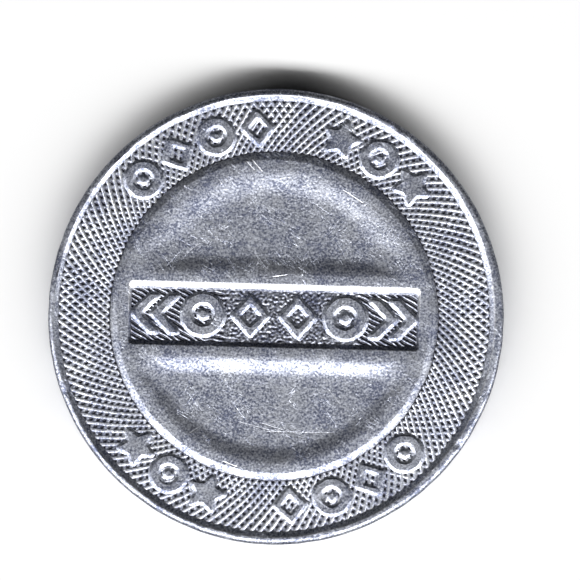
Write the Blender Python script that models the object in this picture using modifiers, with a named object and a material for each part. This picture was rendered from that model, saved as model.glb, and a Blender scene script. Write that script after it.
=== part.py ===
"""A struck aluminium transit token, lying flat with its obverse up.

It is one piece of metal: blanked, rimmed, and struck between two dies in a single blow.
Units are metres. The origin is the middle of the reverse rim's plane, +Z points up out of
the obverse, and +Y points to the top of the design.
"""

import math

import bmesh
import bpy
from mathutils import Matrix, Vector

MM = 0.001

# The whole token
RADIUS = 8.25 * MM
THICKNESS = 1.20 * MM
EDGE_ROUNDING = 0.21 * MM
TURN_STEPS = 72

# Levels: the field and the disc below the rim's flat, and the hollows below the disc's flat
FIELD_DEPTH = 0.11 * MM
DISC_DEPTH = 0.03 * MM
BASIN_DEPTH = 0.09 * MM
DISH_DEPTH = 0.025 * MM
PANEL_DEPTH = 0.12 * MM

# Radii of the ring-shaped zones
BASIN_RADIUS = 5.40 * MM
DISC_TOP_RADIUS = 5.65 * MM
DISC_FOOT_RADIUS = 5.97 * MM
RIM_FOOT_RADIUS = 7.79 * MM
RIM_TOP_RADIUS = 7.97 * MM

# The bar across the middle, and the two half basins beside it
PANEL_LENGTH = 10.56 * MM
PANEL_WIDTH = 2.33 * MM
PANEL_WALL = 0.20 * MM
PANEL_CORNER = 0.15 * MM
BASIN_CHORD = 1.46 * MM
BASIN_WALL = 0.72 * MM
BASIN_CORNER = 0.55 * MM

# Raised ornaments, whose sizes are half heights. Shares are of those sizes.
DRAFT = 0.12 * MM
RELIEF = 0.08 * MM
ROOT_DEPTH = 0.06 * MM
ARC_RADIUS = 6.85 * MM
ARC_PITCH = math.radians(12.9)
ARC_ORNAMENT = 0.68 * MM
BAR_ORNAMENT = 0.78 * MM
BAR_PITCH = 1.72 * MM
STROKE_SHARE = 0.48
HUB_SHARE = 0.22
LOZENGE_WIDTH_SHARE = 0.9
LOZENGE_STROKE_SHARE = 0.34
STAR_SHARE = 1.06
STAR_WAIST = 0.50
ARROW_HEIGHT_SHARE = 0.92
ARROW_BEND_SHARE = 0.46
ARROW_WIDTH_SHARE = 0.54
ARROW_STEP_SHARE = 0.47

# The spoked wheel on the reverse
EMBLEM_RADIUS = 2.6 * MM
EMBLEM_STROKE = 0.5 * MM
EMBLEM_HUB_RADIUS = 0.62 * MM
SPOKES = 6
SPOKE_START = 0.85 * MM
SPOKE_LENGTH = 0.98 * MM
SPOKE_WIDTH = 0.32 * MM

# Smooth shading stops at edges that turn more than this
SHARP_ANGLE = math.radians(25)


def clear_scene():
    for obj in list(bpy.data.objects):
        bpy.data.objects.remove(obj)


def new_collection(name):
    collection = bpy.data.collections.new(name)
    bpy.context.scene.collection.children.link(collection)
    return collection


def new_object(name, bm, collection):
    mesh = bpy.data.meshes.new(name)
    bm.to_mesh(mesh)
    bm.free()
    obj = bpy.data.objects.new(name, mesh)
    collection.objects.link(obj)
    return obj


def aluminium():
    material = bpy.data.materials.new("aluminium")
    material.use_nodes = True
    surface = material.node_tree.nodes["Principled BSDF"]
    surface.inputs["Base Color"].default_value = (0.62, 0.62, 0.66, 1.0)
    surface.inputs["Metallic"].default_value = 1.0
    surface.inputs["Roughness"].default_value = 0.38
    return material


# The turned blank


def soft_wall(inner_radius, inner_depth, outer_radius, outer_depth, steps=3):
    """Points down a struck wall, which leaves both of its flats in a soft curve."""
    points = []
    for step in range(steps + 1):
        along = step / steps
        eased = along * along * (3 - 2 * along)
        radius = inner_radius + along * (outer_radius - inner_radius)
        points.append((radius, inner_depth + eased * (outer_depth - inner_depth)))
    return points


def face_profile(middle):
    """(radius, depth) across one face, from its middle to the side of the token."""
    points = middle + soft_wall(DISC_TOP_RADIUS, DISC_DEPTH, DISC_FOOT_RADIUS, FIELD_DEPTH)
    points += soft_wall(RIM_FOOT_RADIUS, FIELD_DEPTH, RIM_TOP_RADIUS, 0.0)
    for step in range(5):
        angle = math.radians(90) * step / 4
        radius = RADIUS - EDGE_ROUNDING * (1 - math.sin(angle))
        points.append((radius, EDGE_ROUNDING * (1 - math.cos(angle))))
    return points


def round_basin():
    """The reverse has one round basin where the obverse has a bar and two half basins."""
    floor = DISC_DEPTH + BASIN_DEPTH
    return [(0.0, floor)] + soft_wall(BASIN_RADIUS - BASIN_WALL, floor, BASIN_RADIUS, DISC_DEPTH)


def turned_blank(collection):
    """The obverse from its middle out, the side, and the reverse back in to its middle."""
    obverse = [(radius, THICKNESS - depth) for radius, depth in face_profile([(0.0, DISC_DEPTH)])]
    reverse = [(radius, depth) for radius, depth in face_profile(round_basin())]
    bm = bmesh.new()
    corners = [bm.verts.new((radius, 0, height)) for radius, height in obverse + reverse[::-1]]
    for upper, lower in zip(corners, corners[1:]):
        bm.edges.new((upper, lower))
    blank = new_object("struck_token", bm, collection)
    turn = blank.modifiers.new("turn", "SCREW")
    turn.axis = "Z"
    turn.steps = TURN_STEPS
    turn.render_steps = TURN_STEPS
    turn.use_merge_vertices = True
    turn.merge_threshold = 0.001 * MM
    return blank


# Outlines, as points that run counterclockwise


def arc_points(centre, radius, start, end, steps):
    """Points along an arc about a centre, with both of its ends."""
    points = []
    for step in range(steps + 1):
        angle = start + (end - start) * step / steps
        points.append(centre + radius * Vector((math.cos(angle), math.sin(angle))))
    return points


def half_basin_outline(inset):
    """The D above the bar: an arc of the basin's circle, a chord, and two rounded corners."""
    radius = BASIN_RADIUS - inset
    corner_y = BASIN_CHORD + inset + BASIN_CORNER
    corner_x = math.sqrt((radius - BASIN_CORNER) ** 2 - corner_y**2)
    lean = math.atan2(corner_y, corner_x)
    right, left = Vector((corner_x, corner_y)), Vector((-corner_x, corner_y))
    points = arc_points(Vector((0, 0)), radius, lean, math.pi - lean, 30)[1:-1]
    points += arc_points(left, BASIN_CORNER, math.pi - lean, 1.5 * math.pi, 6)
    points += arc_points(right, BASIN_CORNER, -0.5 * math.pi, lean, 6)
    return points


def panel_outline(inset):
    """The bar's rectangle, with its four corners rounded."""
    across = PANEL_LENGTH / 2 - inset - PANEL_CORNER
    up = PANEL_WIDTH / 2 - inset - PANEL_CORNER
    points = []
    for quarter, corner in enumerate(((across, up), (-across, up), (-across, -up), (across, -up))):
        start = math.radians(90 * quarter)
        points += arc_points(Vector(corner), PANEL_CORNER, start, start + math.pi / 2, 3)
    return points


def circle_outline(radius, sides=24):
    return arc_points(Vector((0, 0)), radius, 0, 2 * math.pi, sides)[:-1]


def lozenge_outline(half_width, half_height):
    return [Vector(p) for p in ((half_width, 0), (0, half_height), (-half_width, 0), (0, -half_height))]


def star_outline(radius, points=5):
    corners = []
    for corner in range(2 * points):
        angle = math.radians(90) + math.pi * corner / points
        reach = radius if corner % 2 == 0 else STAR_WAIST * radius
        corners.append(reach * Vector((math.cos(angle), math.sin(angle))))
    return corners


def arrowhead_outline(size):
    """A bent stroke whose point is at the right."""
    half = ARROW_HEIGHT_SHARE * size
    bend = ARROW_BEND_SHARE * size
    width = ARROW_WIDTH_SHARE * size
    front = [(width / 2 - bend, -half), (width / 2 + bend, 0), (width / 2 - bend, half)]
    back = [(across - width, up) for across, up in reversed(front)]
    return [Vector((across, up)) for across, up in front + back]


def inset_outline(outline, distance):
    """The outline with each side moved in by a distance, square to itself."""
    moved = []
    for before, corner, after in zip(outline[-1:] + outline[:-1], outline, outline[1:] + outline[:1]):
        arriving = (corner - before).normalized()
        leaving = (after - corner).normalized()
        inward = Vector((-arriving.y, arriving.x)) + Vector((-leaving.y, leaving.x))
        inward.normalize()
        reach = inward.dot(Vector((-leaving.y, leaving.x)))
        moved.append(corner + inward * distance / reach)
    return moved


# Solids lofted between outlines


def add_loop(bm, outline, height, placement):
    return [bm.verts.new(placement @ Vector((point.x, point.y, height))) for point in outline]


def bridge(bm, lower, upper):
    for index in range(len(lower)):
        after = (index + 1) % len(lower)
        bm.faces.new((lower[index], lower[after], upper[after], upper[index]))


def add_loft(bm, sections, placement=Matrix()):
    """A solid through (outline, height) sections, closed with a flat cap at each end."""
    loops = [add_loop(bm, outline, height, placement) for outline, height in sections]
    for lower, upper in zip(loops, loops[1:]):
        bridge(bm, lower, upper)
    bm.faces.new(loops[0][::-1])
    bm.faces.new(loops[-1])


def add_raised(bm, outline, placement):
    """A flat-topped raised shape with drafted walls, rooted a little below its floor."""
    foot = inset_outline(outline, -DRAFT / 2)
    root = inset_outline(outline, -DRAFT / 2 - DRAFT * ROOT_DEPTH / RELIEF)
    top = inset_outline(outline, DRAFT / 2)
    add_loft(bm, [(root, -ROOT_DEPTH), (foot, 0), (top, RELIEF)], placement)


def add_raised_frame(bm, outline, stroke, placement):
    """A raised stroke that runs round an outline, open in the middle."""
    hole = inset_outline(outline, stroke)
    sections = (
        (inset_outline(outline, -DRAFT / 2), -ROOT_DEPTH),
        (inset_outline(outline, DRAFT / 2), RELIEF),
        (inset_outline(hole, -DRAFT / 2), RELIEF),
        (inset_outline(hole, DRAFT / 2), -ROOT_DEPTH),
    )
    loops = [add_loop(bm, points, height, placement) for points, height in sections]
    for lower, upper in zip(loops, loops[1:] + loops[:1]):
        bridge(bm, lower, upper)


# Ornaments. Each is as tall as twice its size, and its strokes widen with it.


def add_wheel(bm, size, placement):
    add_raised_frame(bm, circle_outline(size), STROKE_SHARE * size, placement)
    add_raised(bm, circle_outline(HUB_SHARE * size, 10), placement)


def add_lozenge(bm, size, placement):
    outline = lozenge_outline(LOZENGE_WIDTH_SHARE * size, size)
    add_raised_frame(bm, outline, LOZENGE_STROKE_SHARE * size, placement)


def add_star(bm, size, placement):
    add_raised(bm, star_outline(STAR_SHARE * size), placement)


def add_arrowheads(bm, size, placement):
    """Two bent strokes, one behind the other."""
    for step in (-1, 1):
        place = placement @ Matrix.Translation((step * ARROW_STEP_SHARE * size, 0, 0))
        add_raised(bm, arrowhead_outline(size), place)


def arc_ornaments():
    """(kind, angle) of the ornaments over and under the disc, in groups of four and three."""
    upper = (add_wheel, add_lozenge, add_wheel, add_lozenge, None, add_star, add_wheel, add_star)
    lower = (add_star, add_wheel, add_star, None, add_lozenge, add_wheel, add_lozenge, add_wheel)
    places = []
    for index, kind in enumerate(upper):
        places.append((kind, math.radians(90) + (3.5 - index) * ARC_PITCH, 0))
    for index, kind in enumerate(lower):
        places.append((kind, math.radians(270) + (index - 3.5) * ARC_PITCH, math.pi))
    return [place for place in places if place[0]]


def add_arc_ornaments(bm, face):
    for add_kind, angle, flip in arc_ornaments():
        spot = Matrix.Rotation(angle, 4, "Z") @ Matrix.Translation((ARC_RADIUS, 0, -FIELD_DEPTH))
        upright = Matrix.Rotation(flip - math.pi / 2, 4, "Z")
        add_kind(bm, ARC_ORNAMENT, face @ spot @ upright)


def add_bar_ornaments(bm, face):
    row = (add_arrowheads, add_wheel, add_lozenge, add_lozenge, add_wheel, add_arrowheads)
    for index, add_kind in enumerate(row):
        across = (index - 2.5) * BAR_PITCH
        turn = Matrix.Rotation(math.pi if across < 0 else 0, 4, "Z")
        spot = Matrix.Translation((across, 0, -DISC_DEPTH - PANEL_DEPTH))
        add_kind(bm, BAR_ORNAMENT, face @ spot @ turn)


def add_emblem(bm, face):
    """A spoked wheel: a rim, a hub, and six spokes that stop just short of both."""
    floor = face @ Matrix.Translation((0, 0, -DISC_DEPTH - BASIN_DEPTH))
    add_raised_frame(bm, circle_outline(EMBLEM_RADIUS, 48), EMBLEM_STROKE, floor)
    add_raised(bm, circle_outline(EMBLEM_HUB_RADIUS), floor)
    half = SPOKE_WIDTH / 2
    corners = ((SPOKE_LENGTH, half), (0, half), (0, -half), (SPOKE_LENGTH, -half))
    bar = [Vector(corner) for corner in corners]
    for spoke in range(SPOKES):
        turn = Matrix.Rotation(math.radians(360) * (spoke + 0.5) / SPOKES, 4, "Z")
        add_raised(bm, bar, floor @ turn @ Matrix.Translation((SPOKE_START, 0, 0)))


# The struck token


def cut_or_join(token, tool, operation):
    tool.hide_render = True
    tool.display_type = "WIRE"
    change = token.modifiers.new(tool.name, "BOOLEAN")
    change.operation = operation
    change.solver = "EXACT"
    change.object = tool


def settle(token):
    """Makes the finished solid the token's own mesh, and shades its curved faces smooth."""
    graph = bpy.context.evaluated_depsgraph_get()
    solid = bpy.data.meshes.new_from_object(token.evaluated_get(graph))
    token.modifiers.clear()
    token.data = solid
    solid.shade_smooth()
    solid.set_sharp_from_angle(angle=SHARP_ANGLE)


def basin_sections():
    """(outline, height) from just above a half basin's edge, down its wall and over its dish."""
    sections = []
    # Shares of the wall's width and of its depth. The first is outside the edge, in the air.
    for across, down in ((-0.14, -0.13), (0.16, 0.15), (0.5, 0.56), (0.8, 0.9), (1.0, 1.0)):
        sections.append((half_basin_outline(across * BASIN_WALL), -down * BASIN_DEPTH))
    foot = sections[-1][0]
    middle = Vector((0, sum(point.y for point in foot) / len(foot)))
    for scale, down in ((0.6, 0.7), (0.3, 1.0)):
        ring = [middle + scale * (point - middle) for point in foot]
        sections.append((ring, -BASIN_DEPTH - down * DISH_DEPTH))
    return sections


def panel_sections():
    """(outline, height) of the bar, whose wall slants from above its edge to its floor."""
    slant = PANEL_WALL / PANEL_DEPTH
    above = 0.25 * PANEL_DEPTH
    return [(panel_outline(-slant * above), above), (panel_outline(PANEL_WALL), -PANEL_DEPTH)]


def main():
    clear_scene()
    parts = new_collection("transit_token")
    tools = new_collection("cutters")
    token = turned_blank(parts)
    token.data.materials.append(aluminium())

    obverse = Matrix.Translation((0, 0, THICKNESS))
    reverse = Matrix.Rotation(math.pi, 4, "Y")
    disc_top = obverse @ Matrix.Translation((0, 0, -DISC_DEPTH))

    hollows = bmesh.new()
    for side in (0, math.pi):
        add_loft(hollows, basin_sections(), disc_top @ Matrix.Rotation(side, 4, "Z"))
    add_loft(hollows, panel_sections(), disc_top)
    bmesh.ops.recalc_face_normals(hollows, faces=hollows.faces)
    cut_or_join(token, new_object("hollows", hollows, tools), "DIFFERENCE")

    raised = bmesh.new()
    add_arc_ornaments(raised, obverse)
    add_bar_ornaments(raised, obverse)
    add_arc_ornaments(raised, reverse)
    add_emblem(raised, reverse)
    bmesh.ops.recalc_face_normals(raised, faces=raised.faces)
    cut_or_join(token, new_object("raised_ornaments", raised, tools), "UNION")
    settle(token)


main()
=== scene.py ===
"""A struck aluminium transit token lying on a pale table, obverse up.

The token is one piece of metal. Its surface is made here in the meshes that the dies leave
on it: the blank with its rim and discs, the engine turning, and the raised marks.
"""

import math

import bmesh
import bpy
from mathutils import Matrix, Vector, noise


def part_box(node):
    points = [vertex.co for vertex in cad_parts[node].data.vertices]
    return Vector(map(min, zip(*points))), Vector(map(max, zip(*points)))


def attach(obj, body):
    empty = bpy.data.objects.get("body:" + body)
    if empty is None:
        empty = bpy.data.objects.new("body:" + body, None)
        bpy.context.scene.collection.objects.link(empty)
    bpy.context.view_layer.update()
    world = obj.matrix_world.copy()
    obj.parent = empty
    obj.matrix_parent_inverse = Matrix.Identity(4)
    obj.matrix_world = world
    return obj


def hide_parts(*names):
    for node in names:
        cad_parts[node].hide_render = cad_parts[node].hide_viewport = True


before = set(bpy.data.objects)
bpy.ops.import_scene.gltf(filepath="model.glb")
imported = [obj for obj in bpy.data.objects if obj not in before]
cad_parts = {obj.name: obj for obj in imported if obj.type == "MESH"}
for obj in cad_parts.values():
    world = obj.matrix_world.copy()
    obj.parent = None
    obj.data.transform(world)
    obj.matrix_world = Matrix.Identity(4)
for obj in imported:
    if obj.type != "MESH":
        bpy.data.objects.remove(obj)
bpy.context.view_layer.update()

# ---------------------------------------------------------------------------------------
# The metal. Soft aluminium sheet, struck cold, so its flats keep the fine grain of the
# dies. Years of pockets and turnstiles have scratched it and worn its high edges. Its
# hollows are painted dark, as grime and as painted shade, and its worn edges and some
# walls turned to the lamp are painted bright, as wear and as painted highlight.
# ---------------------------------------------------------------------------------------

mm = 0.001
token_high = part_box("struck_token")[1]
token_radius = token_high.x
token_thickness = token_high.z


def add_node(tree, kind, values=(), **settings):
    node = tree.nodes.new(kind)
    for name, value in settings.items():
        setattr(node, name, value)
    for name, value in dict(values).items():
        node.inputs[name].default_value = value
    return node


def add_math(tree, operation, first, second):
    """A Math node on two sockets or numbers."""
    node = tree.nodes.new("ShaderNodeMath")
    node.operation = operation
    for socket, value in zip(node.inputs, (first, second)):
        if isinstance(value, (int, float)):
            socket.default_value = value
        else:
            tree.links.new(value, socket)
    return node.outputs[0]


def add_range(tree, value, low, high, to_low, to_high):
    node = add_node(
        tree,
        "ShaderNodeMapRange",
        {"From Min": low, "From Max": high, "To Min": to_low, "To Max": to_high},
    )
    tree.links.new(value, node.inputs["Value"])
    return node.outputs["Result"]


def make_die_grain():
    """The dies' own grain, a tenth of a millimetre across, with broad dull and bright clouds."""
    group = bpy.data.node_groups.new("die_grain", "ShaderNodeTree")
    group.interface.new_socket("Place", in_out="INPUT", socket_type="NodeSocketVector")
    for name in ("Height", "Specks", "Clouds"):
        group.interface.new_socket(name, in_out="OUTPUT", socket_type="NodeSocketFloat")
    entry = group.nodes.new("NodeGroupInput")
    leave = group.nodes.new("NodeGroupOutput")
    textures = {
        "Height": {"Scale": 10000.0, "Detail": 2.0, "Roughness": 0.7},
        "Specks": {"Scale": 13000.0, "Detail": 2.0, "Roughness": 0.7},
        "Clouds": {"Scale": 900.0, "Detail": 4.0, "Roughness": 0.6},
    }
    for name, values in textures.items():
        texture = add_node(group, "ShaderNodeTexNoise", values)
        group.links.new(entry.outputs["Place"], texture.inputs["Vector"])
        group.links.new(texture.outputs["Fac"], leave.inputs[name])
    return group


def make_pocket_scratches():
    """Hairlines one way: the level lines of stretched noise, kept only in patches."""
    group = bpy.data.node_groups.new("pocket_scratches", "ShaderNodeTree")
    group.interface.new_socket("Place", in_out="INPUT", socket_type="NodeSocketVector")
    group.interface.new_socket("Turn", in_out="INPUT", socket_type="NodeSocketVector")
    group.interface.new_socket("Lines", in_out="OUTPUT", socket_type="NodeSocketFloat")
    entry = group.nodes.new("NodeGroupInput")
    leave = group.nodes.new("NodeGroupOutput")
    laid = add_node(group, "ShaderNodeMapping", vector_type="TEXTURE")
    stretched = add_node(group, "ShaderNodeMapping", {"Scale": (1.0, 14.0, 1.0)})
    strands = {"Scale": 520.0, "Detail": 1.0, "Distortion": 0.4}
    lines = add_node(group, "ShaderNodeTexNoise", strands)
    patches = add_node(group, "ShaderNodeTexNoise", {"Scale": 900.0, "Detail": 1.0})
    group.links.new(entry.outputs["Place"], laid.inputs["Vector"])
    group.links.new(entry.outputs["Turn"], laid.inputs["Rotation"])
    group.links.new(laid.outputs["Vector"], stretched.inputs["Vector"])
    group.links.new(stretched.outputs["Vector"], lines.inputs["Vector"])
    group.links.new(laid.outputs["Vector"], patches.inputs["Vector"])
    off_level = add_math(group, "SUBTRACT", lines.outputs["Fac"], 0.5)
    thin = add_range(group, add_math(group, "ABSOLUTE", off_level, 0.0), 0.0, 0.012, 1.0, 0.0)
    kept = add_range(group, patches.outputs["Fac"], 0.54, 0.60, 0.0, 1.0)
    group.links.new(add_math(group, "MULTIPLY", thin, kept), leave.inputs["Lines"])
    return group


# A face isn't level, so heights count little in how far a point is from a deep scratch.
gouge_height_share = 0.1
# A deep scratch is at its full strength this near its line, and gone this far from it.
gouge_core = 0.004 * mm
gouge_edge = 0.022 * mm


def make_deep_scratch():
    """One straight scratch from a start, along a reach, on the face whose height the start has."""
    group = bpy.data.node_groups.new("deep_scratch", "ShaderNodeTree")
    for name in ("Place", "Start", "Reach"):
        group.interface.new_socket(name, in_out="INPUT", socket_type="NodeSocketVector")
    group.interface.new_socket("Line", in_out="OUTPUT", socket_type="NodeSocketFloat")
    entry = group.nodes.new("NodeGroupInput")
    leave = group.nodes.new("NodeGroupOutput")
    shrink = {1: (1.0, 1.0, gouge_height_share)}
    flat = add_node(group, "ShaderNodeVectorMath", shrink, operation="MULTIPLY")
    from_start = add_node(group, "ShaderNodeVectorMath", operation="SUBTRACT")
    along = add_node(group, "ShaderNodeVectorMath", operation="DOT_PRODUCT")
    whole = add_node(group, "ShaderNodeVectorMath", operation="DOT_PRODUCT")
    nearest = add_node(group, "ShaderNodeVectorMath", operation="SCALE")
    aside = add_node(group, "ShaderNodeVectorMath", operation="DISTANCE")
    group.links.new(entry.outputs["Place"], flat.inputs[0])
    group.links.new(flat.outputs["Vector"], from_start.inputs[0])
    group.links.new(entry.outputs["Start"], from_start.inputs[1])
    group.links.new(from_start.outputs["Vector"], along.inputs[0])
    group.links.new(entry.outputs["Reach"], along.inputs[1])
    group.links.new(entry.outputs["Reach"], whole.inputs[0])
    group.links.new(entry.outputs["Reach"], whole.inputs[1])
    share = add_math(group, "DIVIDE", along.outputs["Value"], whole.outputs["Value"])
    group.links.new(entry.outputs["Reach"], nearest.inputs[0])
    group.links.new(add_range(group, share, 0.0, 1.0, 0.0, 1.0), nearest.inputs["Scale"])
    group.links.new(from_start.outputs["Vector"], aside.inputs[0])
    group.links.new(nearest.outputs["Vector"], aside.inputs[1])
    line = add_range(group, aside.outputs["Value"], gouge_core, gouge_edge, 1.0, 0.0)
    group.links.new(line, leave.inputs["Line"])
    return group


die_grain = make_die_grain()
pocket_scratches = make_pocket_scratches()
deep_scratch = make_deep_scratch()
# Where each deep scratch on the obverse starts and ends, in millimetres.
deep_scratches = (
    ((-1.21, 5.59), (-0.93, 5.29)),
    ((-1.02, 5.66), (-0.64, 5.25)),
    ((-1.26, -3.83), (0.26, -4.20)),
    ((-0.22, -4.16), (2.18, -4.15)),
    ((-0.46, -3.85), (0.55, -4.14)),
    ((-3.00, -4.28), (-2.28, -3.79)),
    ((-1.77, -5.28), (-1.29, -5.45)),
    ((2.30, 4.66), (3.03, 4.21)),
    ((-0.15, 1.44), (0.36, 1.53)),
    ((-3.35, 2.20), (-2.60, 2.75)),
    ((1.95, -2.55), (2.35, -3.05)),
)
# The ways that the hairlines run, in radians.
hairline_turns = (0.9, -0.55, 2.2)
# The metal's two tones before its brightness is counted in, and where they end in the noise.
dull_metal = (0.31, 0.345, 0.50)
clean_metal = (1.60, 1.66, 1.84)
tone_ends = (0.41, 0.61)
cloud_share = 0.38
# Near black, painted into hollows as grime and as painted shade.
grime_and_shade_colour = (0.020, 0.018, 0.026, 1.0)
grime_and_shade_start = 0.25
most_grime_and_shade = 0.92
# Near white, painted on worn edges and deep scratches as wear, and on walls turned to the lamp as
# painted highlight.
wear_and_highlight_colour = (0.96, 0.96, 0.98, 1.0)
dullness_swing = 0.05


def struck_aluminium(name, grain_depth, scratch_depth, brightness, dullness, deep=()):
    """The token's metal, with how deep its grain and scratches are, how bright and how dull.

    Its attribute of wear and painted light runs from -1, where an edge is painted bright as
    wear and painted highlight, over 0 to 1, where a hollow is painted dark as grime and
    painted shade.
    """
    material = bpy.data.materials.new(name)
    material.use_nodes = True
    tree = material.node_tree
    surface = tree.nodes["Principled BSDF"]
    surface.inputs["Metallic"].default_value = 1.0
    place = add_node(tree, "ShaderNodeTexCoord").outputs["Object"]
    wear_and_painted_light = add_node(tree, "ShaderNodeAttribute", attribute_name="wear_and_painted_light").outputs["Fac"]
    grain = add_node(tree, "ShaderNodeGroup", node_tree=die_grain)
    tree.links.new(place, grain.inputs["Place"])

    scratches = add_node(tree, "ShaderNodeValue").outputs[0]
    for turn in hairline_turns:
        laid = {"Turn": (0.0, 0.0, turn)}
        hairlines = add_node(tree, "ShaderNodeGroup", laid, node_tree=pocket_scratches)
        tree.links.new(place, hairlines.inputs["Place"])
        scratches = add_math(tree, "MAXIMUM", scratches, hairlines.outputs["Lines"])
    gouges = add_node(tree, "ShaderNodeValue").outputs[0]
    for start, end in deep:
        origin = Vector((start[0] * mm, start[1] * mm, gouge_height_share * token_thickness))
        reach = Vector((end[0] - start[0], end[1] - start[1], 0.0)) * mm
        course = {"Start": origin, "Reach": reach}
        gouge = add_node(tree, "ShaderNodeGroup", course, node_tree=deep_scratch)
        tree.links.new(place, gouge.inputs["Place"])
        gouges = add_math(tree, "MAXIMUM", gouges, gouge.outputs["Line"])

    tone = add_node(tree, "ShaderNodeValToRGB")
    dull_tone, clean_tone = tone.color_ramp.elements
    dull_tone.position, clean_tone.position = tone_ends
    dull_tone.color = [brightness * part for part in dull_metal] + [1.0]
    clean_tone.color = [brightness * part for part in clean_metal] + [1.0]
    clouds = add_math(tree, "MULTIPLY", grain.outputs["Clouds"], cloud_share)
    specks = add_math(tree, "MULTIPLY", grain.outputs["Specks"], 1 - cloud_share)
    tree.links.new(add_math(tree, "ADD", clouds, specks), tone.inputs["Fac"])
    # Hollows are painted dark here, as grime and as painted shade.
    grime_and_shade = add_node(tree, "ShaderNodeMix", data_type="RGBA")
    grime_and_shade.inputs[7].default_value = grime_and_shade_colour
    tree.links.new(add_range(tree, wear_and_painted_light, grime_and_shade_start, 1.0, 0.0, most_grime_and_shade), grime_and_shade.inputs["Factor"])
    # Worn edges, deep scratches and walls turned to the lamp are painted bright here: wear, and
    # painted highlight.
    wear_and_highlight = add_node(tree, "ShaderNodeMix", data_type="RGBA")
    wear_and_highlight.inputs[7].default_value = wear_and_highlight_colour
    wear_and_highlight_mask = add_math(tree, "MAXIMUM", add_range(tree, wear_and_painted_light, -1.0, 0.0, 1.0, 0.0), gouges)
    tree.links.new(wear_and_highlight_mask, wear_and_highlight.inputs["Factor"])
    tree.links.new(tone.outputs["Color"], wear_and_highlight.inputs[6])
    tree.links.new(wear_and_highlight.outputs[2], grime_and_shade.inputs[6])
    tree.links.new(grime_and_shade.outputs[2], surface.inputs["Base Color"])

    dullest, clearest = dullness + dullness_swing, dullness - dullness_swing
    rough = add_range(tree, grain.outputs["Clouds"], 0.3, 0.7, dullest, clearest)
    tree.links.new(rough, surface.inputs["Roughness"])

    scratches = add_math(tree, "MAXIMUM", scratches, gouges)
    carved = add_math(tree, "MULTIPLY", scratches, -scratch_depth / grain_depth)
    height = add_math(tree, "ADD", grain.outputs["Height"], carved)
    bump = add_node(tree, "ShaderNodeBump", {"Strength": 1.0, "Distance": grain_depth})
    tree.links.new(height, bump.inputs["Height"])
    tree.links.new(bump.outputs["Normal"], surface.inputs["Normal"])
    return material


# ---------------------------------------------------------------------------------------
# The blank. A disc stamped from sheet, its rim rolled up before it is struck. The dies
# leave it a flat rim, a low ring, and a raised disc: on the obverse with a bar and two
# half basins, on the reverse with one round basin.
# ---------------------------------------------------------------------------------------

edge_rounding = 0.20 * mm
field_depth = 0.11 * mm
field_floor = field_depth + 0.09 * mm
disc_depth = 0.03 * mm
basin_depth = 0.09 * mm
basin_reach = 0.72 * mm
dish_depth = 0.025 * mm
dish_reach = 1.1 * mm
panel_depth = 0.12 * mm
panel_floor = panel_depth + 0.05 * mm
panel_wall = 0.22 * mm
panel_lean = 0.2
basin_radius = 5.40 * mm
basin_chord = 1.46 * mm
basin_corner = 0.50 * mm
panel_half_length = 5.28 * mm
panel_half_width = 1.15 * mm
panel_middle = 0.015 * mm
panel_corner = 0.15 * mm
disc_top_radius = 5.65 * mm
disc_foot_radius = 5.97 * mm
rim_foot_radius = 7.80 * mm
rim_top_radius = 8.03 * mm
# The upper D's worn arc slopes over this many times the width of its straight wall.
worn_arc_share = 1.5
# The dies met the blank a little off its middle.
strike_shift = Vector((-0.07 * mm, 0.02 * mm, 0.0))
turn_steps = 480
wall_steps = 12
basin_steps = 28
basin_arc_steps = 72
basin_chord_steps = 40
basin_corner_steps = 12
panel_steps = 8
panel_corner_steps = 6
merge_distance = 0.0004 * mm
# The trench under the ring and the floor under the bar's ground have nearly upright walls.
trench_wall = 0.02 * mm
panel_floor_wall = 0.01 * mm
# How far the first ring of a hollow lies outside its edge, on the flat.
hollow_lip = 0.03 * mm
# How far the surface wanders along each axis, and over what length.
blank_unevenness = (0.022 * mm, 0.022 * mm, 0.006 * mm)
unevenness_length = 0.55 * mm
# Angle in degrees, distance from the middle, width and depth of each knock.
rim_knocks = (
    (59.7, 7.98 * mm, 0.16 * mm, 0.07 * mm),
    (70.5, 8.02 * mm, 0.12 * mm, 0.05 * mm),
    (-33.5, 8.05 * mm, 0.14 * mm, 0.06 * mm),
    (148.0, 8.08 * mm, 0.18 * mm, 0.04 * mm),
    (201.0, 8.10 * mm, 0.15 * mm, 0.05 * mm),
    (-78.0, 8.06 * mm, 0.12 * mm, 0.04 * mm),
)


def eased(along):
    along = min(max(along, 0.0), 1.0)
    return along * along * (3 - 2 * along)


def slanted(along, bend=0.18):
    """A straight slope from 0 to 1, with a short bend at each end."""
    if along > 0.5:
        return 1 - slanted(1 - along, bend)
    if along < bend:
        return along * along / (2 * bend * (1 - bend))
    return (along - 0.5 * bend) / (1 - bend)


def wall_points(inner_radius, inner_depth, outer_radius, outer_depth):
    """(radius, depth) down a struck wall, soft where it leaves each flat."""
    points = []
    for step in range(wall_steps + 1):
        along = step / wall_steps
        radius = inner_radius + along * (outer_radius - inner_radius)
        points.append((radius, inner_depth + slanted(along) * (outer_depth - inner_depth)))
    return points


def basin_drop(inset):
    """How deep a basin is at a distance in from its edge: a soft wall, then a long dish."""
    return basin_depth * eased(inset / basin_reach) + dish_depth * eased(inset / dish_reach)


def rim_points():
    points = wall_points(rim_foot_radius, field_depth, rim_top_radius, 0.0)
    points.append((0.5 * (rim_top_radius + token_radius - edge_rounding), 0.0))
    for step in range(wall_steps + 1):
        angle = math.radians(90) * step / wall_steps
        reach = token_radius - edge_rounding * (1 - math.sin(angle))
        points.append((reach, edge_rounding * (1 - math.cos(angle))))
    return points


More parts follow.
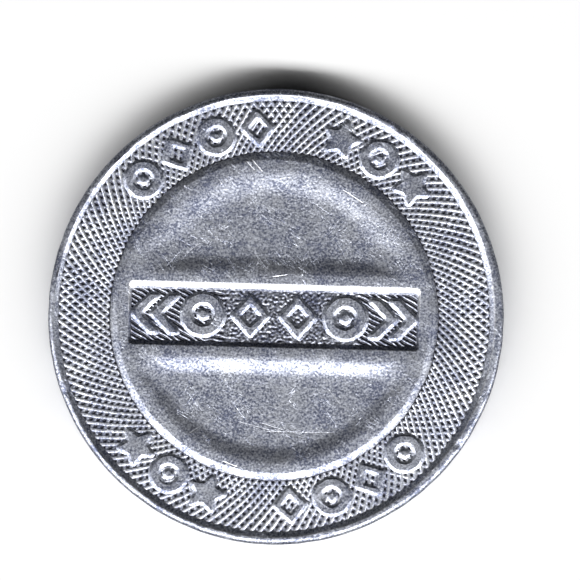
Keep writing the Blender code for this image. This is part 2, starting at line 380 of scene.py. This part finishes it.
def disc_wall_points():
    """The disc's wall, then a trench under the ring, which the engine turning covers."""
    wall = wall_points(disc_top_radius, disc_depth, disc_foot_radius, field_depth)
    wall.append((disc_foot_radius + trench_wall, field_floor))
    wall.append((rim_foot_radius - trench_wall, field_floor))
    return wall


def reverse_basin_points():
    points = [(0.0, disc_depth + basin_drop(basin_radius))]
    for step in range(basin_steps, -1, -1):
        inset = dish_reach * step / basin_steps
        points.append((basin_radius - inset, disc_depth + basin_drop(inset)))
    return points


def half_basin_outline(inset, arc_share=1.0):
    """The D above the bar: an arc of the basin's circle, its chord, and two rounded corners."""
    radius = basin_radius - arc_share * inset
    corner_y = basin_chord + inset + basin_corner
    corner_x = math.sqrt((radius - basin_corner) ** 2 - corner_y**2)
    lean = math.atan2(corner_y, corner_x)
    quarter_turn = 0.5 * math.pi
    left, steps = (-corner_x, corner_y), basin_corner_steps
    points = arc_points((0, 0), radius, lean, math.pi - lean, basin_arc_steps)[1:-1]
    points += arc_points(left, basin_corner, math.pi - lean, 3 * quarter_turn, steps)
    for step in range(1, basin_chord_steps):
        across = corner_x * (2 * step / basin_chord_steps - 1)
        points.append((across, corner_y - basin_corner))
    points += arc_points((corner_x, corner_y), basin_corner, -quarter_turn, lean, steps)
    return points


def worn_basin_outline(inset):
    """The upper D, whose curved wall is worn to a gentler slope than its straight one."""
    return half_basin_outline(inset, worn_arc_share)


def panel_outline(inset):
    """The bar's rectangle with its corners rounded. Its ends are steeper than its sides."""
    across = panel_half_length - 0.5 * inset - panel_corner
    up = panel_half_width - inset - panel_corner
    points = []
    for quarter, corner in enumerate(((across, up), (-across, up), (-across, -up), (across, -up))):
        start = 0.5 * math.pi * quarter
        end = start + 0.5 * math.pi
        points += arc_points(corner, panel_corner, start, end, panel_corner_steps)
    middle = panel_middle - panel_lean * inset
    return [(along, up + middle) for along, up in points]


def arc_points(centre, radius, start, end, steps):
    points = []
    for step in range(steps + 1):
        angle = start + (end - start) * step / steps
        points.append((centre[0] + radius * math.cos(angle), centre[1] + radius * math.sin(angle)))
    return points


def lay_ring(mesh, points, height):
    """A closed ring of edges through the points."""
    ring = [mesh.verts.new((across, up, height)) for across, up in points]
    return [mesh.edges.new((ring[index - 1], ring[index])) for index in range(len(ring))]


def sink_hollow(mesh, outline, profile, turned):
    """Walls of a hollow, ring below ring from its edge down. Gives back the rings."""
    rings = []
    for inset, drop in profile:
        points = [(turned * across, turned * up) for across, up in outline(inset)]
        rings.append(lay_ring(mesh, points, token_thickness - disc_depth - drop))
    for upper, lower in zip(rings, rings[1:]):
        bmesh.ops.bridge_loops(mesh, edges=upper + lower)
    return rings


def finish_mesh(mesh, name, material, sharp_angle):
    """Merges the mesh, turns it the right way out, and makes it a piece of the token."""
    bmesh.ops.remove_doubles(mesh, verts=mesh.verts, dist=merge_distance)
    bmesh.ops.recalc_face_normals(mesh, faces=mesh.faces)
    data = bpy.data.meshes.new(name)
    mesh.to_mesh(data)
    mesh.free()
    data.materials.append(material)
    data.shade_smooth()
    data.set_sharp_from_angle(angle=sharp_angle)
    piece = bpy.data.objects.new(name, data)
    bpy.context.scene.collection.objects.link(piece)
    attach(piece, "root")
    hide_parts("struck_token")
    return piece


def make_blank():
    mesh = bmesh.new()
    obverse = disc_wall_points() + rim_points()
    reverse = reverse_basin_points() + disc_wall_points() + rim_points()
    heights = [(reach, token_thickness - depth) for reach, depth in obverse]
    heights += reverse[::-1]
    profile = [mesh.verts.new((reach, 0, height)) for reach, height in heights]
    line = [mesh.edges.new(pair) for pair in zip(profile, profile[1:])]
    bmesh.ops.spin(
        mesh,
        geom=profile + line,
        cent=(0, 0, 0),
        axis=(0, 0, 1),
        angle=2 * math.pi,
        steps=turn_steps,
        use_merge=True,
    )
    bmesh.ops.remove_doubles(mesh, verts=mesh.verts, dist=merge_distance)

    # The obverse disc is still open. Its hollows go in, and the flat between them is filled.
    disc_edge = [edge for edge in mesh.edges if edge.is_boundary]
    basin_profile = [(-hollow_lip, 0.0)]
    for step in range(1, basin_steps + 1):
        inset = dish_reach * step / basin_steps
        basin_profile.append((inset, basin_drop(inset)))
    panel_profile = [(-hollow_lip, 0.0)]
    for step in range(1, panel_steps + 1):
        along = step / panel_steps
        panel_profile.append((panel_wall * along, panel_depth * slanted(along)))
    # The bar's own ground covers this deeper floor.
    panel_profile.append((panel_wall + panel_floor_wall, panel_floor))
    hollows = (
        (worn_basin_outline, basin_profile, 1),
        (half_basin_outline, basin_profile, -1),
        (panel_outline, panel_profile, 1),
    )
    mouths = []
    for outline, steps, turned in hollows:
        rings = sink_hollow(mesh, outline, steps, turned)
        mouths += rings[0]
        floor = bmesh.ops.contextual_create(mesh, geom=rings[-1])["faces"]
        bmesh.ops.triangulate(mesh, faces=floor)
    bmesh.ops.triangle_fill(mesh, use_beauty=True, edges=disc_edge + mouths)
    return mesh


def paint_blank_wear_and_light(mesh):
    """Paints the rim's top edge bright as wear and painted highlight, the bar's upper wall bright
    as painted highlight, the corners and the bar's lower wall and floor dark as painted shade
    and grime, and the token's edge darker towards the middle of its thickness.
    """
    wear_and_painted_light = mesh.verts.layers.float.new("wear_and_painted_light")
    bar_top = panel_half_width + panel_middle
    for corner in mesh.verts:
        reach = math.hypot(corner.co.x, corner.co.y)
        below_face = min(corner.co.z, token_thickness - corner.co.z)
        on_obverse = corner.co.z > 0.5 * token_thickness
        sunk = below_face > disc_depth + 0.004 * mm and reach < disc_top_radius
        if reach > rim_top_radius:
            # The token's edge is painted darker towards the middle of its thickness.
            corner[wear_and_painted_light] = 0.8 * max(0.0, below_face / token_thickness - 0.35)
        elif reach > disc_foot_radius:
            # The rim's top edge is painted bright, as wear and as painted highlight; its foot is
            # painted dark, as grime and as painted shade.
            off_edge = (rim_top_radius - reach) / (rim_top_radius - rim_foot_radius)
            corner[wear_and_painted_light] = -0.45 * max(0.0, 1 - 2.5 * off_edge) + 1.6 * max(0.0, off_edge - 0.6)
        elif reach > disc_top_radius:
            # The disc's wall is painted darker towards its foot and in the trench below it, as
            # painted shade and grime.
            corner[wear_and_painted_light] = 1.1 * max(0.0, below_face / field_depth - 0.45)
        elif on_obverse and sunk and abs(corner.co.y) < bar_top:
            # The bar's upper wall, which faces the lamp, is painted bright as painted highlight;
            # its lower wall and floor are painted dark as painted shade, partly grime.
            down = (below_face - disc_depth) / panel_depth
            corner[wear_and_painted_light] = -0.9 if down < 0.75 and corner.co.y > 0 else 0.7


def shift_strike(mesh):
    """Moves the obverse, inside the rim's top, to where the die met the blank."""
    for corner in mesh.verts:
        reach = math.hypot(corner.co.x, corner.co.y)
        if corner.co.z > 0.5 * token_thickness and reach < rim_top_radius + 0.01 * mm:
            corner.co += strike_shift


def wear_blank(mesh):
    """The faint unevenness of struck metal, and the knocks on the rim's edge."""
    for corner in mesh.verts:
        spot = Vector(corner.co)
        for axis, amount in enumerate(blank_unevenness):
            pattern = spot / unevenness_length + Vector((0, 0, 17.3 * axis))
            corner.co[axis] += amount * noise.noise(pattern)
        for degrees, reach, width, depth in rim_knocks:
            angle = math.radians(degrees)
            knock = Vector((reach * math.cos(angle), reach * math.sin(angle), token_thickness))
            away = (spot - knock).length / width
            corner.co.z -= depth * math.exp(-away * away)
    for corner in mesh.verts:
        reach = math.hypot(corner.co.x, corner.co.y)
        if reach > token_radius:
            corner.co *= Vector((token_radius / reach, token_radius / reach, 1.0))
        corner.co.z = min(max(corner.co.z, 0.0), token_thickness)


blank_metal = struck_aluminium(
    "blank_metal",
    grain_depth=0.012 * mm,
    scratch_depth=0.006 * mm,
    brightness=0.54,
    dullness=0.44,
    deep=deep_scratches,
)
blank = make_blank()
paint_blank_wear_and_light(blank)
shift_strike(blank)
wear_blank(blank)
finish_mesh(blank, "struck_blank", blank_metal, math.radians(35))

# ---------------------------------------------------------------------------------------
# The engine turning. Two families of fine curved ridges cross all the way round the ring,
# cut into the dies on a rose engine. The ridges are flat on top, with small sharp pits
# between them, and the second family stands a little lower than the first.
# ---------------------------------------------------------------------------------------

ridge_count = 152
ridge_lean = 0.78
ridge_half_top = 0.118
pit_depth = 0.052 * mm
second_family_drop = 0.013 * mm
# The pits are painted darker with depth, as painted shade and grime, and the crests painted
# brighter, as painted highlight and polish.
pit_grime_and_shade = 2.65
crest_polish_and_highlight = 0.40
sectors_per_ridge = 8
die_wear = 0.008 * mm
wear_length = 1.7 * mm
chatter_depth = 0.006 * mm
chatter_length = 0.16 * mm
# How far the turning runs in under the disc's wall, and out under the rim's.
under_disc = 0.08 * mm
under_rim = 0.06 * mm
turning_skirt = 0.03 * mm


def ridge_drop(turns, top_drop):
    """Depth below the ridges' tops at a place that many ridges round from one of them."""
    off_crest = abs((turns + 0.5) % 1.0 - 0.5)
    down_wall = max(off_crest - ridge_half_top, 0.0) / (0.5 - ridge_half_top)
    return top_drop + (pit_depth - top_drop) * down_wall


def engine_turned_drop(across, up):
    reach = math.hypot(across, up)
    angle = math.atan2(up, across)
    spiral = ridge_lean * math.log(reach / rim_foot_radius)
    spot = Vector((across, up, 0))
    wear = die_wear * noise.noise(spot / wear_length)
    first_turns = ridge_count * (angle + spiral) / (2 * math.pi)
    second_turns = ridge_count * (angle - spiral) / (2 * math.pi)
    first = ridge_drop(first_turns, max(0.0, -wear))
    second = ridge_drop(second_turns, max(0.0, second_family_drop + wear))
    chatter = chatter_depth * noise.noise(spot / chatter_length)
    return max(0.0, min(first, second) + chatter)


def split_along_ridges(mesh, faces):
    """Cuts each four-sided face between its two corners that are nearest in height."""
    for face in faces:
        a, b, c, d = face.verts
        if abs(a.co.z - c.co.z) < abs(b.co.z - d.co.z):
            bmesh.utils.face_split(face, a, c)
        else:
            bmesh.utils.face_split(face, b, d)


def make_engine_turning(placement):
    mesh = bmesh.new()
    step = 2 * math.pi / (ridge_count * sectors_per_ridge * ridge_lean)
    inner = disc_foot_radius - under_disc
    outer = rim_foot_radius + under_rim
    low = math.floor(math.log(inner / rim_foot_radius) / step)
    high = math.ceil(math.log(outer / rim_foot_radius) / step)
    radii = [rim_foot_radius * math.exp(step * index) for index in range(low, high + 1)]
    line = [mesh.verts.new((reach, 0, 0)) for reach in radii]
    edges = [mesh.edges.new(pair) for pair in zip(line, line[1:])]
    bmesh.ops.spin(
        mesh,
        geom=line + edges,
        cent=(0, 0, 0),
        axis=(0, 0, 1),
        angle=2 * math.pi,
        steps=ridge_count * sectors_per_ridge,
        use_merge=True,
    )
    bmesh.ops.remove_doubles(mesh, verts=mesh.verts, dist=merge_distance)
    wear_and_painted_light = mesh.verts.layers.float.new("wear_and_painted_light")
    for corner in mesh.verts:
        drop = engine_turned_drop(corner.co.x, corner.co.y)
        corner.co.z = -field_depth - drop
        # Painted shade and grime deepen towards the pits; the crests get painted highlight and
        # polish.
        corner[wear_and_painted_light] = pit_grime_and_shade * drop / pit_depth - crest_polish_and_highlight
    split_along_ridges(mesh, mesh.faces[:])
    rims = [edge for edge in mesh.edges if edge.is_boundary]
    skirt = bmesh.ops.extrude_edge_only(mesh, edges=rims)["geom"]
    hem = [item for item in skirt if isinstance(item, bmesh.types.BMVert)]
    for corner in hem:
        corner.co.z = -field_floor - turning_skirt
    bmesh.ops.bridge_loops(mesh, edges=[edge for edge in mesh.edges if edge.is_boundary])
    mesh.transform(placement)
    return mesh


obverse_face = Matrix.Translation(Vector((0, 0, token_thickness)) + strike_shift)
reverse_face = Matrix.Rotation(math.pi, 4, "Y")
turned_metal = struck_aluminium(
    "turned_metal",
    grain_depth=0.006 * mm,
    scratch_depth=0.004 * mm,
    brightness=0.68,
    dullness=0.44,
)
for name, face in (("obverse", obverse_face), ("reverse", reverse_face)):
    turning = make_engine_turning(face)
    finish_mesh(turning, name + "_engine_turning", turned_metal, math.radians(18))

# ---------------------------------------------------------------------------------------
# The raised marks. Flat-topped shapes with slanted walls, struck up out of the ground by
# the dies: hubbed wheels, lozenges and stars round the ring, and the same in the bar.
# ---------------------------------------------------------------------------------------

mark_relief = 0.08 * mm
mark_root = 0.08 * mm
mark_draft = 0.14 * mm
mark_edge = 0.03 * mm
mark_sink = 0.01 * mm
# How far in and up the bend at the foot of a mark's wall runs, and the crown on its top.
foot_in, foot_up = 0.012 * mm, 0.006 * mm
crown_in, crown_up = 0.03 * mm, 0.0005 * mm
corner_rounding = 0.07 * mm
crook_rounding = 0.12 * mm
side_step = 0.12 * mm
# Shares of a mark's size, which is half its height.
stroke_share = 0.48
hub_share = 0.22
lozenge_width_share = 0.9
lozenge_stroke_share = 0.456
star_share = 1.12
star_waist = 0.52
star_points = 5
arrow_half_share = 0.92
arrow_bend_share = 0.46
arrow_width_share = 0.54
arrow_step_share = 0.47
# How far old dies let a mark's surface wander along each axis, and over what length.
mark_unevenness = (0.028 * mm, 0.028 * mm, 0.010 * mm)
mark_uneven_length = 0.24 * mm
arc_radius = 6.85 * mm
arc_pitch = math.radians(12.9)
arc_mark = 0.68 * mm
bar_mark = 0.78 * mm
bar_pitch = 1.72 * mm
emblem_radius = 2.6 * mm
emblem_stroke = 0.5 * mm
emblem_hub = 0.62 * mm
spoke_count = 6
spoke_half_width = 0.16 * mm
spoke_start = 0.85 * mm
spoke_end = 1.83 * mm
hub_sides = 24
wheel_sides = 48
emblem_sides = 96


def round_outline(reach, sides):
    """A circle that can be let out by some amount."""

    def outline(grow):
        return arc_points((0, 0), reach + grow, 0.0, 2 * math.pi * (sides - 1) / sides, sides - 1)

    return outline


def rounded_outline(corners):
    """Straight sides with rounded corners, a shape that can be let out by some amount."""

    def outline(grow):
        arcs = []
        for index, corner in enumerate(corners):
            before = (Vector(corner) - Vector(corners[index - 1])).normalized()
            after = (Vector(corners[(index + 1) % len(corners)]) - Vector(corner)).normalized()
            bend = math.atan2(before.x * after.y - before.y * after.x, before.dot(after))
            side = math.copysign(1.0, bend)
            radius = corner_rounding if side > 0 else crook_rounding
            inward = Vector((-before.y, before.x)) + Vector((-after.y, after.x))
            centre = Vector(corner) + side * radius * inward / (1 + before.dot(after))
            start = math.atan2(-side * before.x, side * before.y)
            arcs.append(arc_points(centre, radius + side * grow, start, start + bend, 4))
        points = []
        for index, arc in enumerate(arcs):
            following = (index + 1) % len(corners)
            start, end = Vector(arc[-1]), Vector(arcs[following][0])
            side_length = (Vector(corners[index]) - Vector(corners[following])).length
            count = max(1, round(side_length / side_step))
            points += arc + [tuple(start.lerp(end, part / count)) for part in range(1, count)]
        return points

    return outline


def strike_up(outer, inner, height):
    """One raised mark, inside an outline or between two: slanted walls, eased edges, a flat top."""
    shape = bmesh.new()
    half, top = 0.5 * mark_draft, height + mark_relief
    profile = [(half, height - mark_root), (half, height)]
    profile.append((half - foot_in, height + foot_up))
    for step in range(4, -1, -1):
        angle = math.radians(15 + 18 * step)
        eased_in = mark_edge * (1 - math.cos(angle))
        profile.append((-half + mark_edge * (1 - math.sin(angle)), top - eased_in))
    # Two rings at one height wouldn't bridge cleanly, so the top is crowned by a hair.
    profile.append((-half - crown_in, top + crown_up))
    ends = []
    for outline, way in ((outer, 1), (inner, -1)):
        if outline is None:
            continue
        rings = [lay_ring(shape, outline(way * grow), level) for grow, level in profile]
        for lower, upper in zip(rings, rings[1:]):
            bmesh.ops.bridge_loops(shape, edges=lower + upper)
        ends.append((rings[0], rings[-1]))
    for end in zip(*ends):
        bmesh.ops.triangle_fill(shape, use_beauty=True, edges=sum(end, []))
    return shape


def add_shape(target, shape, placement):
    """Puts a shape into a larger mesh, at its place."""
    bmesh.ops.recalc_face_normals(shape, faces=shape.faces)
    copied = bpy.data.meshes.new("one_shape")
    shape.to_mesh(copied)
    shape.free()
    copied.transform(placement)
    target.from_mesh(copied)
    bpy.data.meshes.remove(copied)


def star_corners(reach):
    """Corners round a circle, the first at the top and every second one drawn in to the waist."""
    points = []
    for side in range(2 * star_points):
        angle = 0.5 * math.pi + math.pi * side / star_points
        out = reach if side % 2 == 0 else reach * star_waist
        points.append((out * math.cos(angle), out * math.sin(angle)))
    return points


def add_hub(target, reach, height, placement):
    add_shape(target, strike_up(round_outline(reach, hub_sides), None, height), placement)


def add_wheel(target, size, height, placement):
    hole = round_outline(size * (1 - stroke_share), wheel_sides)
    add_shape(target, strike_up(round_outline(size, wheel_sides), hole, height), placement)
    add_hub(target, hub_share * size, height, placement)


def add_lozenge(target, size, height, placement):
    hole_size = size * (1 - lozenge_stroke_share)
    outlines = []
    for reach in (size, hole_size):
        half_width = lozenge_width_share * reach
        corners = [(half_width, 0), (0, reach), (-half_width, 0), (0, -reach)]
        outlines.append(rounded_outline(corners))
    add_shape(target, strike_up(*outlines, height), placement)


def add_star(target, size, height, placement):
    star = rounded_outline(star_corners(star_share * size))
    add_shape(target, strike_up(star, None, height), placement)


def add_arrowheads(target, size, height, placement):
    """Two bent strokes, one behind the other, that point along +X."""
    half, bend, width = arrow_half_share * size, arrow_bend_share * size, arrow_width_share * size
    front = [(width / 2 - bend, -half), (width / 2 + bend, 0), (width / 2 - bend, half)]
    back = [(across - width, up) for across, up in reversed(front)]
    stroke = rounded_outline(front + back)
    for step in (-1, 1):
        spot = placement @ Matrix.Translation((step * arrow_step_share * size, 0, 0))
        add_shape(target, strike_up(stroke, None, height), spot)


def wear_marks(mesh):
    """Old dies leave no edge quite straight and no top quite flat."""
    for corner in mesh.verts:
        for axis, amount in enumerate(mark_unevenness):
            spot = corner.co / mark_uneven_length + Vector((0, 0, 31.7 * axis))
            corner.co[axis] += amount * noise.noise(spot)


def make_arc_marks(face):
    """Four and three marks over the disc, and three and four under it."""
    upper = (add_wheel, add_lozenge, add_wheel, add_lozenge, None, add_star, add_wheel, add_star)
    lower = (add_star, add_wheel, add_star, None, add_lozenge, add_wheel, add_lozenge, add_wheel)
    mesh = bmesh.new()
    middle = 0.5 * (len(upper) - 1)
    for index in range(len(upper)):
        over = 0.5 * math.pi + (middle - index) * arc_pitch
        under = 1.5 * math.pi + (index - middle) * arc_pitch
        for add_mark, angle, stand in ((upper[index], over, -0.5), (lower[index], under, 0.5)):
            if add_mark:
                out = Matrix.Rotation(angle, 4, "Z") @ Matrix.Translation((arc_radius, 0, 0))
                upright = Matrix.Rotation(stand * math.pi, 4, "Z")
                add_mark(mesh, arc_mark, -field_depth - mark_sink, face @ out @ upright)
    wear_marks(mesh)
    return mesh


def make_bar_marks(face):
    row = (add_arrowheads, add_wheel, add_lozenge, add_lozenge, add_wheel, add_arrowheads)
    mesh = bmesh.new()
    for index, add_mark in enumerate(row):
        across = (index - 0.5 * (len(row) - 1)) * bar_pitch
        turn = Matrix.Rotation(math.pi if across < 0 else 0.0, 4, "Z")
        spot = Matrix.Translation((across, 0, 0))
        add_mark(mesh, bar_mark, -disc_depth - panel_depth, face @ spot @ turn)
    wear_marks(mesh)
    return mesh


def make_emblem(face):
    """The reverse's spoked wheel: a rim, a hub, and six spokes that stop short of both."""
    mesh = bmesh.new()
    floor = -disc_depth - basin_depth - dish_depth
    tread = round_outline(emblem_radius, emblem_sides)
    rim_hole = round_outline(emblem_radius - emblem_stroke, emblem_sides)
    add_shape(mesh, strike_up(tread, rim_hole, floor), face)
    add_hub(mesh, emblem_hub, floor, face)
    half, near, far = spoke_half_width, spoke_start, spoke_end
    spoke = rounded_outline([(far, -half), (far, half), (near, half), (near, -half)])
    for count in range(spoke_count):
        turn = Matrix.Rotation(2 * math.pi * (count + 0.5) / spoke_count, 4, "Z")
        add_shape(mesh, strike_up(spoke, None, floor), face @ turn)
    wear_marks(mesh)
    return mesh


mark_metal = struck_aluminium(
    "mark_metal",
    grain_depth=0.010 * mm,
    scratch_depth=0.006 * mm,
    brightness=0.50,
    dullness=0.44,
)
finish_mesh(make_arc_marks(obverse_face), "obverse_arc_marks", mark_metal, math.radians(30))
finish_mesh(make_arc_marks(reverse_face), "reverse_arc_marks", mark_metal, math.radians(30))
finish_mesh(make_bar_marks(obverse_face), "bar_marks", mark_metal, math.radians(30))
finish_mesh(make_emblem(reverse_face), "reverse_emblem", mark_metal, math.radians(30))

# ---------------------------------------------------------------------------------------
# The bar's ground. Wavy cut lines run down to the right at both ends and fade out before
# the middle, where the die was worn and the metal is left rough.
# ---------------------------------------------------------------------------------------

line_pitch = 0.195 * mm
line_depth = 0.055 * mm
# As shares of the pitch, half the flat between two lines, and the whole of a line's wall.
line_half_flat = 0.14
line_wall = 0.3
line_slope = 0.62
line_wobble = 0.03 * mm
wobble_across, wobble_up = 0.13 * mm, 0.31 * mm
rough_depth = 0.022 * mm
rough_length = 0.09 * mm
# How much of the roughness is gone where the lines are.
cut_away = 0.7
# The lines are level this far out from the middle, and slant beyond that.
level_reach = 2.5 * mm
# How far the rough middle reaches to each side, and over what length the lines begin.
left_rough, left_begin = 1.6 * mm, 0.5 * mm
right_rough, right_begin = 2.9 * mm, 0.4 * mm
# How far the ground runs in under the bar's walls, and how far down its skirt hangs.
under_wall = 0.02 * mm
ground_skirt = 0.10 * mm
ground_columns, ground_rows = 420, 80
# The whole sunk ground is painted a little dark, and its cut lines darker with depth, as painted
# shade and grime.
ground_grime_and_shade = 0.35
line_grime_and_shade = 1.6


def bar_ground_drop(across, up):
    slant = line_slope * math.copysign(max(abs(across) - level_reach, 0.0), across)
    wobble = line_wobble * math.sin(across / wobble_across) * math.cos(up / wobble_up)
    off_crest = abs(((up + slant + wobble) / line_pitch) % 1.0 - 0.5)
    lines = line_depth * min(max(off_crest - line_half_flat, 0.0) / line_wall, 1.0)
    roughness = rough_depth * (0.5 + noise.noise(Vector((across, up, 0)) / rough_length))
    left = eased((-left_rough - across) / left_begin)
    right = eased((across - right_rough) / right_begin)
    lined = max(left, right)
    return lined * lines + (1 - cut_away * lined) * roughness


def make_bar_ground():
    mesh = bmesh.new()
    half_length = panel_half_length - 0.5 * panel_wall + under_wall
    half_width = panel_half_width - panel_wall + under_wall
    middle = panel_middle - panel_lean * panel_wall
    bmesh.ops.create_grid(mesh, x_segments=ground_columns, y_segments=ground_rows, size=1.0)
    wear_and_painted_light = mesh.verts.layers.float.new("wear_and_painted_light")
    for corner in mesh.verts:
        across, up = corner.co.x * half_length, corner.co.y * half_width
        drop = bar_ground_drop(across, up)
        corner.co = (across, up + middle, -disc_depth - panel_depth - drop)
        # Painted shade and grime: a little over the whole ground, more down in the cut lines.
        corner[wear_and_painted_light] = ground_grime_and_shade + line_grime_and_shade * drop / line_depth
    rim = [edge for edge in mesh.edges if edge.is_boundary]
    skirt = bmesh.ops.extrude_edge_only(mesh, edges=rim)["geom"]
    hem = [item for item in skirt if isinstance(item, bmesh.types.BMVert)]
    for corner in hem:
        corner.co.z = -disc_depth - panel_depth - ground_skirt
    hem_edges = [edge for edge in mesh.edges if edge.is_boundary]
    bmesh.ops.contextual_create(mesh, geom=hem_edges)
    mesh.transform(obverse_face)
    return mesh


finish_mesh(make_bar_ground(), "bar_ground", turned_metal, math.radians(35))

# ---------------------------------------------------------------------------------------
# The table and the studio. White matt card, one long strip light low in front of the
# token, and a little light from all round.
# ---------------------------------------------------------------------------------------

card_half_width = 0.35
card_whiteness = 0.82
# The metal sees the card darker than it is, so walls turned away from the lamp stay dark.
card_in_metal = 0.20
strip_length = 6.0
strip_width = 0.22
strip_place = Vector((-0.05, -1.0, 1.17))
# How bright the room is to everything but the camera.
room_glow = 0.012


def make_card():
    mesh = bmesh.new()
    bmesh.ops.create_grid(mesh, x_segments=1, y_segments=1, size=card_half_width)
    data = bpy.data.meshes.new("white_card")
    mesh.to_mesh(data)
    mesh.free()
    card = bpy.data.objects.new("white_card", data)
    bpy.context.scene.collection.objects.link(card)
    material = bpy.data.materials.new("white_card")
    material.use_nodes = True
    surface = material.node_tree.nodes["Principled BSDF"]
    seen = add_node(material.node_tree, "ShaderNodeLightPath").outputs["Is Glossy Ray"]
    level = add_range(material.node_tree, seen, 0.0, 1.0, card_whiteness, card_in_metal)
    material.node_tree.links.new(level, surface.inputs["Base Color"])
    surface.inputs["Roughness"].default_value = 0.9
    data.materials.append(material)


def hang_strip_light(direction, distance, watts):
    """A long soft box hung in a direction from the token and faces it, with its length level."""
    lamp = bpy.data.lights.new("strip", "AREA")
    lamp.shape = "RECTANGLE"
    lamp.size, lamp.size_y = strip_length, strip_width
    lamp.energy = watts
    hung = bpy.data.objects.new("strip", lamp)
    bpy.context.scene.collection.objects.link(hung)
    hung.location = direction.normalized() * distance
    hung.rotation_euler = (-direction).to_track_quat("-Z", "Y").to_euler()
    hung.visible_camera = False


make_card()
hang_strip_light(strip_place, distance=1.0, watts=62.0)

# The room is white to the camera, and nearly dark to everything else.
world = bpy.data.worlds.new("studio")
world.use_nodes = True
bpy.context.scene.world = world
backdrop = world.node_tree.nodes["Background"]
backdrop.inputs["Color"].default_value = (1.0, 1.0, 1.0, 1.0)
seen = add_node(world.node_tree, "ShaderNodeLightPath").outputs["Is Camera Ray"]
level = add_range(world.node_tree, seen, 0.0, 1.0, room_glow, 1.0)
world.node_tree.links.new(level, backdrop.inputs["Strength"])

# The camera looks straight down from far off, turned a little and aimed a little beside
# the token, so that the token sits low and left of the middle of the view.
frame_width = 1.272 * 2 * token_radius
camera_turn = math.radians(1.55)
camera_aside = Vector((0.507 * mm, 0.977 * mm, 0.0))
lens_data = bpy.data.cameras.new("camera")
lens_data.lens = 300.0
lens_data.clip_start = 0.001
camera = bpy.data.objects.new("camera", lens_data)
bpy.context.scene.collection.objects.link(camera)
distance = frame_width * lens_data.lens / lens_data.sensor_width
aim = Matrix.Rotation(camera_turn, 4, "Z") @ camera_aside
camera.location = (aim.x, aim.y, distance + token_thickness)
camera.rotation_euler = (0.0, 0.0, camera_turn)
bpy.context.scene.camera = camera
bpy.context.scene.view_settings.view_transform = "Standard"
